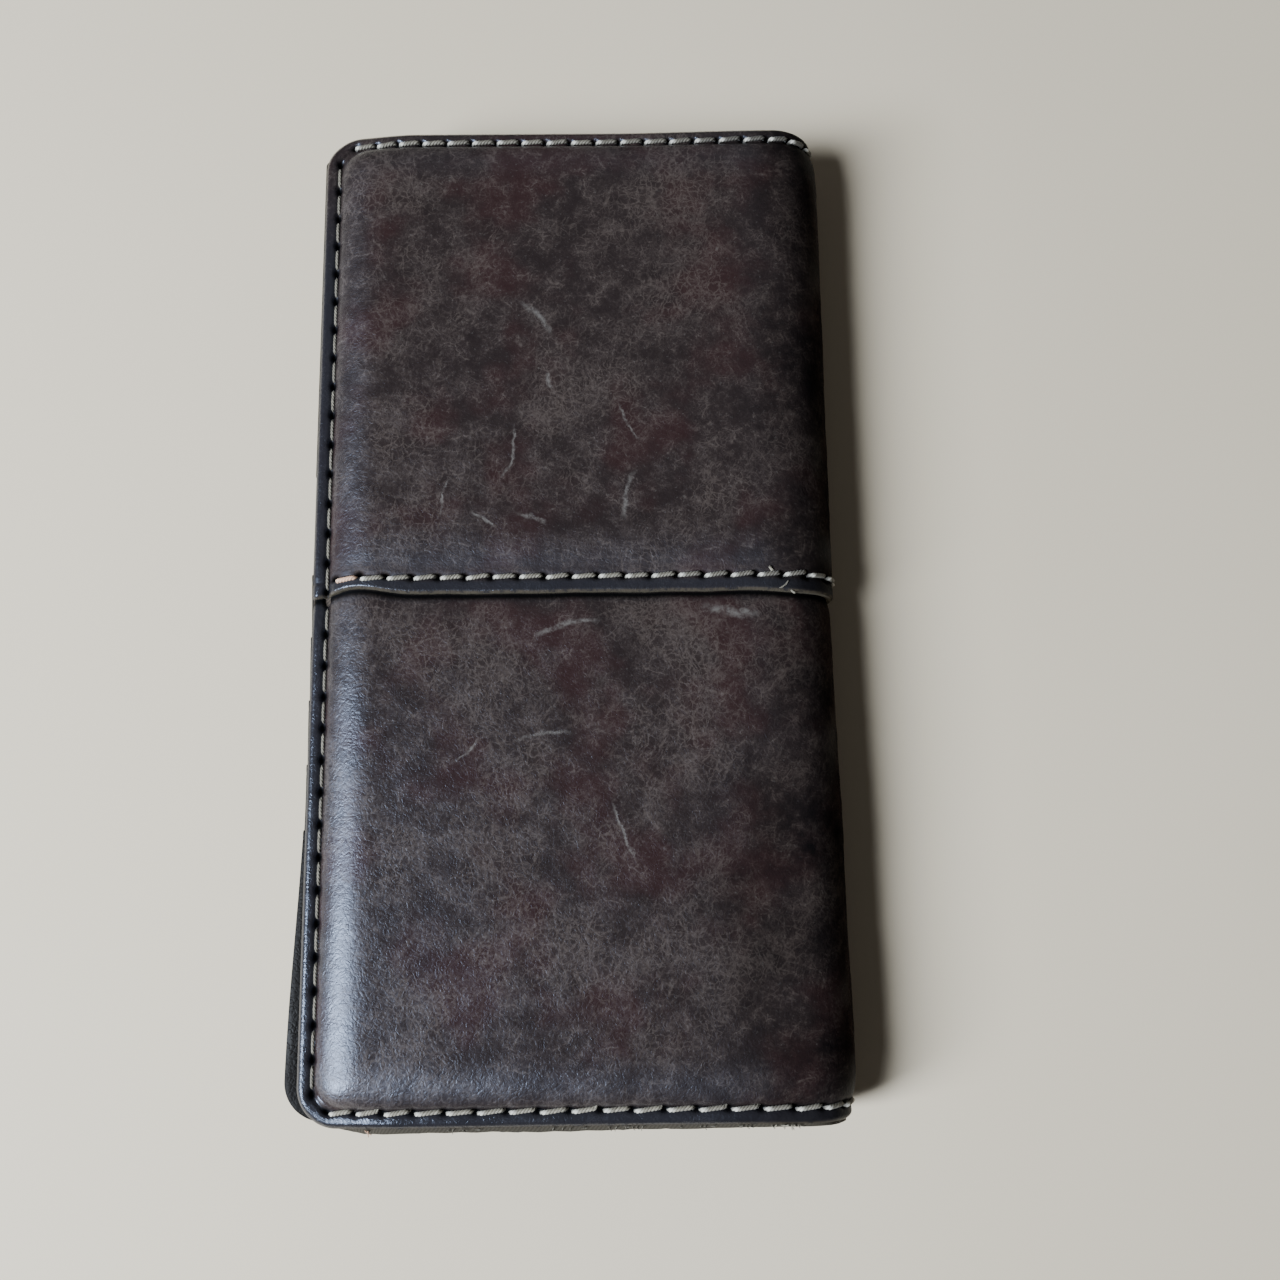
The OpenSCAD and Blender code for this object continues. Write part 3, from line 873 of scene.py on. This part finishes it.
# ---------------------------------------------------------------- inside
class Half:
    """One half of the inside: x runs from its open edge to the panels' edge beside the fold, and depth is
    measured outwards from the plane where the halves meet."""

    def __init__(self, name, edge, sign, body, slots):
        self.name, self.edge, self.sign, self.body = name, edge, sign, body
        self.right = high_mm("bill_panel_" + name).x
        self.slots = [f"card_slot_{name}_{i + 1}" for i in range(slots)]
        self.covers = []          # (low y, high y, depth at high y, slope) of the panels, front ones last

    def level(self, y):
        """Depth of the inner face at y."""
        depth = np.full(np.shape(y), PANEL_LEVEL)
        for low, high, top, slope in self.covers:
            here = (y >= low) & (y <= high)
            depth = np.where(here, np.minimum(depth, top + (high - y) * slope), depth)
        return depth

    def plan(self, low, high, dx, dy, fine=0.3):
        """Grid over the half between two y, with x decreasing on the back so that the face shows."""
        at_near_end, at_far_end = low < -HALF_LENGTH + 0.1, high > HALF_LENGTH - 0.1
        start = -HALF_LENGTH + CORNER if at_near_end else low
        stop = HALF_LENGTH - CORNER if at_far_end else high
        y = steps(start, (stop - 3, dy), (stop, fine))
        if at_near_end:
            y = np.concatenate([corner_lines(-1, 0.6)[::-1], y])
        if at_far_end:
            y = np.concatenate([y, corner_lines(1, 0.6)])
        x = steps(self.edge, (self.edge + 4.5, 0.5), (self.right - 4.5, dx), (self.right, fine))
        if self.sign < 0:
            x = x[::-1]
        x, y = np.meshgrid(x, y, indexing="ij")
        return rounded(x, y, self.edge), y

    def place(self, x, y, depth):
        if self.sign < 0:
            x = skewed(x, y)
        return np.stack([x, y, CROWN + self.sign * depth], -1)

    def rim(self, x, y):
        return rim_distance(x, y, self.edge)

    def own(self, piece, slot, *nodes):
        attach(piece, self.body)
        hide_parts(*nodes)


def leather_slab(half, name, low, high, depth, thickness, material, node, mouth=True, bulge=0.0):
    """A flat leather piece across the half; depth is a function of y. Its upper edge is a creased mouth."""
    x, y = half.plan(low, high, 1.1, 0.9)
    face = depth(y)
    rim, side, top = half.rim(x, y), half.right - x, high - y
    out = np.minimum(rim, side)
    dent = 0.12 * bump(rim - GROOVE, 0.45) + 0.12 * bump(side - GROOVE, 0.45)
    wear = np.exp(-((side / 0.8) ** 2))
    if mouth:
        dent = dent + 0.16 * bump(top - 1.7, 0.3) + 0.22 * np.clip(1 - top / 0.5, 0, 1) ** 2
        wear = np.maximum(wear, np.exp(-((top / 0.9) ** 2)))
    if bulge:
        inside = smooth(4, 7, x - half.edge) * smooth(4, 7, side)
        dent = dent - bulge * inside * (1 + 0.3 * noise(x, y, 14, 21))
    dent = dent + 0.05 * noise(x, y, 9, 22) + 0.22 * np.clip(1 - out / 0.5, 0, 1) ** 2
    outer = half.place(x, y, face + dent + 0.02)
    inner = half.place(x, y, face + thickness)
    values = on_skin(x, y, {"rim": rim * MM, "wear": wear, "hole": 0 * x})
    piece = shell(name, outer, inner, [material], values, grid_normals(outer))
    half.own(piece, "inside_leather", node)


def make_slots(half, material):
    """Card slots, lowest first. Each leans back under the next one, which lies farther along the fold."""
    for node in half.slots:
        low, high = low_mm(node), high_mm(node)
        slope = (high.z - low.z - SLOT_LEATHER) / (high.y - low.y)
        half.covers.append((low.y, high.y, SLOT_FACE, slope))

        def depth(y, top=high.y, slope=slope):
            return SLOT_FACE + (top - y) * slope

        leather_slab(half, f"{node}_leather", low.y, high.y, depth, SLOT, material, node, bulge=0.1)


def make_bill_panel(half, material):
    node = "bill_panel_" + half.name
    leather_slab(half, f"{node}_leather", -HALF_LENGTH, HALF_LENGTH, lambda y: PANEL_LEVEL + 0 * y, PANEL,
                 material, node, mouth=False)


def make_bags(half, material):
    """The fabric bags, one below each slot's mouth."""
    node = "pocket_bags_" + half.name
    low, high = low_mm(node), high_mm(node)
    for i, slot in enumerate(half.slots):
        top = high_mm(slot).y - SLOT_PITCH
        bottom = max(low.y + BAG_SHORTER, top - BAG_HEIGHT)
        x, y = np.meshgrid(steps(low.x, (high.x, 8))[:: half.sign], steps(bottom, (top, 6)), indexing="ij")
        depth = 2.32 + 0.2 * (i % 5) + 0.02 * noise(x, y, 9, 31 + i)
        outer, inner = half.place(x, y, depth), half.place(x, y, depth + 0.14)
        piece = shell(f"{node}_{i + 1}_cloth", outer, inner, [material], on_skin(x, y, {"wear": 0 * x}),
                      grid_normals(outer), 0)
        half.own(piece, "pocket_fabric", node)


def rounded_loop(centre, size, radius, per_side=30, per_corner=8):
    """Points round a rectangle with round corners, anticlockwise, the same number for any radius."""
    arcs = []
    for k, side in enumerate(((1, 1), (-1, 1), (-1, -1), (1, -1))):
        middle = np.array(centre) + (np.array(size) / 2 - radius) * side
        angle = math.pi / 2 * (k + np.linspace(0, 1, per_corner + 1))
        arcs.append(middle + radius * np.stack([np.cos(angle), np.sin(angle)], -1))
    points = []
    share = np.linspace(0, 1, per_side + 1)[1:-1, None]
    for arc, following in zip(arcs, arcs[1:] + arcs[:1]):
        points += [arc, arc[-1] * (1 - share) + following[0] * share]
    return np.concatenate(points)


# The frame's section: how far out from the opening's edge, as a share of its width, and depth below its face.
# It has a crease beside the opening and turned edges.
FRAME_SECTION = [(1.0, 0.74), (1.0, 0.25), (0.97, 0.05), (0.6, 0.0), (0.25, 0.0), (0.12, 0.0), (0.07, 0.05),
                 (0.055, 0.2), (0.04, 0.06), (0.02, 0.03), (0.006, 0.1), (0.0, 0.25), (0.0, 0.74)]
FRAME_WORN = 8        # from this point of the section on, the edge of the opening is worn


def node_loop(node, inset, radius):
    """A rounded loop round a solid's plan, or that far inside it."""
    low, high = low_mm(node), high_mm(node)
    centre = ((low.x + high.x) / 2, (low.y + high.y) / 2)
    return rounded_loop(centre, (high.x - low.x - 2 * inset, high.y - low.y - 2 * inset), radius)


def make_window_frame(half, leather):
    """The leather frame of the identity card's window, with a round-cornered opening."""
    low, high = low_mm("id_window_frame"), high_mm("id_window_frame")
    outline = node_loop("id_window_frame", 0, 1.2)
    opening = node_loop("id_window_film", FILM_LAP, 5)
    depth = CROWN - high.z
    count = len(outline)
    loops = [np.concatenate([outline * share + opening * (1 - share),
                             np.full((count, 1), CROWN - depth - drop)], 1) for share, drop in FRAME_SECTION]
    points = np.concatenate(loops)
    points[:, 0] = skewed(points[:, 0], points[:, 1])
    index = np.arange(len(points)).reshape(-1, count)
    beside = np.roll(index, -1, 1)
    quads = np.stack([index, beside, np.roll(beside, -1, 0), np.roll(index, -1, 0)], -1).reshape(-1, 4)
    piece = new_object("id_window_frame_leather", points, quads.tolist(), [leather])
    point_values(piece, "skin", points * (MM, MM, 0), "FLOAT_VECTOR")
    point_values(piece, "rim", half.rim(points[:, 0], points[:, 1]) * MM)
    point_values(piece, "wear", np.repeat(np.arange(len(loops)) >= FRAME_WORN, count) * 0.6)
    point_values(piece, "hole", np.zeros(len(points)))
    half.own(piece, "inside_leather", "id_window_frame")
    half.covers.append((low.y, high.y, depth, 0.0))


def make_window_film(half, film):
    low, high = low_mm("id_window_film"), high_mm("id_window_film")
    x, y = np.meshgrid(steps(high.x - 0.5, (low.x + 0.5, 2.0)), steps(low.y + 0.5, (high.y - 0.5, 2.0)),
                       indexing="ij")
    level = CROWN - high.z + 0.06 + 0.04 * noise(x, y, 16, 41)
    outer, inner = half.place(x, y, level), half.place(x, y, level + 0.16)
    sheet = shell("id_window_film_clear", outer, inner, [film], on_skin(x, y, {}), grid_normals(outer))
    half.own(sheet, "window_film", "id_window_film")


# ---------------------------------------------------------------- thread
STITCH_RINGS = 19
THREAD_SIDES = 6
TWIST = 2.5           # length in which a strand goes round once
INNER_PITCH = 5.2
INNER_INSET = 1.8     # from the corners to the first and last inner stitch
INNER_COVER = 0.86    # share of the pitch that an inner stitch covers


def path_frame(path, up):
    """Unit vectors to the side of a path, and away from the skin."""
    tangent = unit(np.gradient(path, axis=0))
    side = unit(np.cross(tangent, up))
    return side, np.cross(side, tangent)


def strand_points(path, up, radius, phase, turns):
    """Centre line of one strand twisted round a path."""
    side, lift = path_frame(path, up)
    angle = phase + np.linspace(0, turns * 2 * math.pi, len(path))
    taper = np.sqrt(np.clip(1 - np.linspace(-1, 1, len(path)) ** 8, 0.02, 1))
    return path + (side * np.cos(angle)[:, None] + lift * np.sin(angle)[:, None]) * (radius * taper)[:, None]


def tube(path, radii, up):
    """Points and faces of a closed tube."""
    side, lift = path_frame(path, up)
    a = np.arange(THREAD_SIDES) * 2 * math.pi / THREAD_SIDES
    ring = side[:, None] * np.cos(a)[None, :, None] + lift[:, None] * np.sin(a)[None, :, None]
    points = (path[:, None] + ring * radii[:, None, None]).reshape(-1, 3)
    faces = []
    for i in range(len(path) - 1):
        for j in range(THREAD_SIDES):
            p, q = i * THREAD_SIDES + j, i * THREAD_SIDES + (j + 1) % THREAD_SIDES
            faces.append([p, q, q + THREAD_SIDES, p + THREAD_SIDES])
    faces.append(list(range(THREAD_SIDES))[::-1])
    faces.append(list(range(len(points) - THREAD_SIDES, len(points))))
    return points, faces


def stitch_path(row, k):
    """The path of one stitch over the skin, the outward normals along it, and its middle's s."""
    a = row.first + k * row.pitch
    gap = (0.3 if row.along == "s" else 0.8) + rng.uniform(-0.05, 0.1)
    t = np.linspace(-1, 1, STITCH_RINGS)
    along = a + row.pitch / 2 + (row.pitch / 2 - gap) * t
    lean = row.lean * (1 + rng.uniform(-0.35, 0.35))
    across = -0.5 * t * row.pitch * lean + rng.uniform(-0.07, 0.07)
    if row.along == "s":
        s, y = along, row.at + across
    else:
        inset = abs(row.at) + across
        s, y = (S_BACK + inset if row.at < 0 else S_FRONT - inset), along
    base, normal = smooth_skin(s, y)
    lift = 0.1 - row.sunk - 1.1 * np.abs(t) ** 9 + 0.05 * rng.uniform(-1, 1)
    lift = lift + 0.1 * np.exp(-(((t + row.left * 0.75) / 0.25) ** 2))
    if y.mean() < 0:
        lift = lift - lap_drop(y)
    elif y.mean() < LAP_TONGUE:
        lift = lift - seat(s)
    return base + normal * lift[:, None], normal, s.mean()


def thread_mesh(paths):
    """Three twisted strands along each path. paths are (points, normals, width, side of the end with the
    painted
    highlight or 0, how dark it is: dirt, and painted shade towards the fold on the outer stitches, peach).
    Returns points, faces and the values that the thread's colour follows, painted highlights and painted
    shade among them."""
    points, faces, offset = [], [], 0
    values = {key: [] for key in ("strand", "hole", "painted_highlight", "dirt", "peach")}
    for number, (path, up, width, left, thread_darkening, tint) in enumerate(paths):
        t = np.linspace(-1, 1, len(path))
        length = np.linalg.norm(np.diff(path, axis=0), axis=1).sum()
        run = np.repeat(np.linspace(0, length, len(path)), THREAD_SIDES)
        ring = np.tile(np.arange(THREAD_SIDES) / THREAD_SIDES, len(path))
        # painted highlight: the top of the end on the side that left gives is coloured pale
        painted_highlight_end = np.exp(-(((t + left * 0.72) / 0.22) ** 2)) * (left != 0)
        radii = STRAND * width * 1.15 * (1 - 0.4 * np.abs(t) ** 8)
        phase = rng.uniform(0, 2 * math.pi)
        for strand in range(3):
            turn = phase + strand * 2 * math.pi / 3
            line = strand_points(path, up, STRAND * width * 0.95, turn, length / TWIST)
            p, f = tube(line, radii, up)
            points.append(p)
            faces += [[i + offset for i in face] for face in f]
            offset += len(p)
            height = ((p - np.repeat(path, THREAD_SIDES, 0)) * np.repeat(up, THREAD_SIDES, 0)).sum(1) / width
            # painted shade: the thread is darkened on its underside and at its ends, which dive into the
            # holes
            sunk = np.maximum(0.85 * smooth(0.1, -0.45, height), np.repeat(np.abs(t) ** 7, THREAD_SIDES))
            values["strand"].append(np.stack([run + 11 * number, ring * 1.6, 3 * strand + 0 * run], -1) * MM)
            values["hole"].append(sunk)
            values["painted_highlight"].append(np.repeat(painted_highlight_end, THREAD_SIDES) * smooth(0.0, 0.3, height) * 0.85)
            values["dirt"].append(np.full(len(p), thread_darkening + rng.uniform(-0.12, 0.12)))
            values["peach"].append(np.full(len(p), tint))
    return np.concatenate(points), faces, {key: np.concatenate(parts) for key, parts in values.items()}


def thread_piece(name, paths, material):
    points, faces, values = thread_mesh(paths)
    piece = new_object(name, points, faces, [material])
    for key, value in values.items():
        point_values(piece, key, value, "FLOAT_VECTOR" if key == "strand" else "FLOAT")
    return piece


def fibre(s, y, degrees, length, rise):
    """The path of a loose end that starts on the skin, and the outward normals along it."""
    t = np.linspace(0, 1, STITCH_RINGS)
    turn = math.radians(degrees) + 0.5 * t
    run, rows = s - length * t * np.cos(turn), y + length * t * np.sin(turn)
    on_skin = np.maximum(rows, -HALF_LENGTH + 0.3)
    base, normal = smooth_skin(run, on_skin)
    base = base + normal * (rise * t**2)[:, None]
    base[:, 1] += rows - on_skin
    base[:, 2] -= 1.6 * (on_skin - rows) ** 0.7
    return base, normal


def fluff(count, start, end, shortest, longest, width, dirt):
    """Short loose fibres at random along the near end's cut edge."""
    fibres = []
    for _ in range(count):
        s, degrees, length = rng.uniform(start, end), rng.uniform(-150, -30), rng.uniform(shortest, longest)
        fibres.append((s, -HALF_LENGTH - 0.1, degrees, length, 0.1, width, dirt, 0.0))
    return fibres


FIBRES = {  # loose ends: s, y in mm, direction in degrees, length, rise, width, dirt, peach
    "seam": [(17.7, 3.3, 100, 1.1, 0.3, 0.55, 0.0, 0.0), (14.4, -0.2, -70, 0.9, 0.3, 0.4, 0.1, 0.0),
             (16.6, 0.2, 10, 2.2, 0.2, 0.3, 0.6, 0.0)],
    "edge": [(91.5, -93.0, -60, 1.9, 0.3, 0.22, 0.1, 1.0), (90.6, -93.2, -125, 1.3, 0.2, 0.2, 0.1, 1.0),
             *fluff(16, 17, 22, 0.6, 1.2, 0.14, 0.0), *fluff(26, 25, 80, 0.4, 1.1, 0.12, 0.6)],
}


def make_threads(material, kind, rows, cad_nodes):
    """The outer stitches of these rows, in one piece for each zone of the fold, with their loose ends."""
    gathered = [[] for _ in ZONES]
    for s, y, degrees, length, rise, width, dirt, peach in FIBRES[kind]:
        path, up = fibre(s, y, degrees, length, rise)
        gathered[int(np.searchsorted(MIDDLES, s))].append((path, up, width, 0, dirt, peach))
    for name in rows:
        row = ROWS[name]
        for k in range(row.count):
            path, up, s = stitch_path(row, k)
            peach = float(name == "seam" and k == row.count - 1)
            # painted shade: the stitches darken towards the fold, on the side away from the light
            dirt = row.dirt + 0.45 * smooth(FOLD_ARC + 35, FOLD_ARC, abs(s))
            gathered[int(np.searchsorted(MIDDLES, s))].append((path, up, row.width, row.left, dirt, peach))
    for k, (paths, nodes) in enumerate(zip(gathered, cad_nodes)):
        if paths:
            piece = thread_piece(f"{kind}_thread_{ZONE_NAMES[k]}", paths, material)
            turn_with_fold(piece)
            if nodes:
                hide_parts(*nodes)


def inner_stitch(half, start, end):
    """The path of one stitch on the inside, between two points of the plan, and the normals along it."""
    t = np.linspace(-1, 1, STITCH_RINGS)
    x = (start[0] + end[0]) / 2 + (end[0] - start[0]) / 2 * INNER_COVER * t
    y = (start[1] + end[1]) / 2 + (end[1] - start[1]) / 2 * INNER_COVER * t
    depth = half.level(y) + 0.16 + 0.7 * np.abs(t) ** 9
    up = np.zeros((len(t), 3))
    up[:, 2] = -half.sign
    return half.place(x, y, depth), up


def make_inner_threads(half, material):
    """Rows of stitches on the inside, along the three edges and along the panels' edge beside the fold."""
    corners = [(half.right - GROOVE, -HALF_LENGTH + GROOVE), (half.edge + GROOVE, -HALF_LENGTH + GROOVE),
               (half.edge + GROOVE, HALF_LENGTH - GROOVE), (half.right - GROOVE, HALF_LENGTH - GROOVE)]
    paths = []
    for a, b in zip(corners, corners[1:] + corners[:1]):
        a, b = np.array(a), np.array(b)
        length = np.linalg.norm(b - a)
        row = length - 2 * INNER_INSET
        count = round(row / INNER_PITCH)
        # the back's stitches along the open edge, which show past the front cover, are the darkest
        thread_darkening = 0.9 if half.sign < 0 and a[0] == b[0] and a[0] < 0 else 0.2
        for i in range(count):
            first, last = [(INNER_INSET + row * end / count) / length for end in (i, i + 1)]
            path, up = inner_stitch(half, a + (b - a) * first, a + (b - a) * last)
            paths.append((path, up, 0.62, 0, thread_darkening, 0))
    piece = thread_piece(f"inner_thread_{half.name}", paths, material)
    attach(piece, half.body)


# ---------------------------------------------------------------- stage
def make_stage():
    mesh = bpy.data.meshes.new("floor")
    reach = 3.0
    mesh.from_pydata([(-reach, -reach, 0), (reach, -reach, 0), (reach, reach, 0), (-reach, reach, 0)], [],
                     [(0, 1, 2, 3)])
    floor = bpy.data.objects.new("floor", mesh)
    bpy.context.scene.collection.objects.link(floor)
    n = Nodes("pale_floor")
    place = n.add("TexCoord").outputs["Object"]
    tone = n.noise(place, 6, 3, 0.5)
    colour = n.ramp(tone, (0.3, (0.84, 0.71, 0.52)), (0.7, (0.87, 0.74, 0.55)))
    mesh.materials.append(n.finish(colour, 0.7))


def area_light(name, place, target, size, power, colour):
    light = bpy.data.lights.new(name, "AREA")
    light.shape, light.size, light.size_y = "RECTANGLE", size[0], size[1]
    light.energy, light.color = power, colour
    made = bpy.data.objects.new(name, light)
    made.location = place
    made.rotation_euler = (Vector(target) - Vector(place)).to_track_quat("-Z", "Y").to_euler()
    bpy.context.scene.collection.objects.link(made)


def make_lights():
    area_light("window", (-0.68, -0.29, 0.66), (0, 0, 0), (0.3, 0.6), 26, (0.80, 0.89, 1.0))
    area_light("fill", (0.3, 0.9, 1.0), (0, 0, 0), (1.2, 1.2), 0.6, (1.0, 0.97, 0.93))
    world = bpy.data.worlds.new("studio")
    bpy.context.scene.world = world
    world.use_nodes = True
    nodes, links = world.node_tree.nodes, world.node_tree.links
    ambient = nodes["Background"]
    ambient.inputs["Color"].default_value = (0.95, 0.97, 1.0, 1)
    ambient.inputs["Strength"].default_value = 0.035
    backdrop = nodes.new("ShaderNodeBackground")
    backdrop.inputs["Color"].default_value = (0.86, 0.83, 0.78, 1)
    backdrop.inputs["Strength"].default_value = 0.9
    seen, choice = nodes.new("ShaderNodeLightPath"), nodes.new("ShaderNodeMixShader")
    links.new(seen.outputs["Is Camera Ray"], choice.inputs[0])
    links.new(ambient.outputs[0], choice.inputs[1])
    links.new(backdrop.outputs[0], choice.inputs[2])
    links.new(choice.outputs[0], nodes["World Output"].inputs["Surface"])


def make_camera():
    data = bpy.data.cameras.new("camera")
    data.sensor_width = 36
    data.lens = 36.1
    camera = bpy.data.objects.new("camera", data)
    camera.location = (0.0098, -0.0518, 0.2469)
    camera.rotation_euler = tuple(math.radians(a) for a in (10.6, -0.61, -0.79))
    bpy.context.scene.collection.objects.link(camera)
    bpy.context.scene.camera = camera
    data.clip_start = 0.01


# ---------------------------------------------------------------- build
make_camera()
make_stage()
make_lights()
raw = cut_edge()
leather_set = [cover_leather(), raw, raw]
make_panel(False, leather_set)
make_panel(True, leather_set)
cloth = lining_cloth()
make_lining(cloth)
brown = inside_leather()
thread = thread_material()
back = Half("back", BACK_EDGE, -1, "back_half", 5)
front = Half("front", FRONT_EDGE, 1, "front_half", 8)
for half in (back, front):
    make_bill_panel(half, brown)
    make_bags(half, cloth)
    if half is back:
        make_window_frame(half, brown)
        make_window_film(half, clear_film())
    make_slots(half, brown)
    make_inner_threads(half, thread)
make_threads(thread, "edge", EDGE_ROWS, [["edge_stitches_back"], [], [], ["edge_stitches_front"]])
make_threads(thread, "seam", ["seam"],
             [["seam_stitches_back"], ["stitches_fold_1"], ["stitches_fold_2"],
              ["seam_stitches_front", "stitches_fold_3"]])
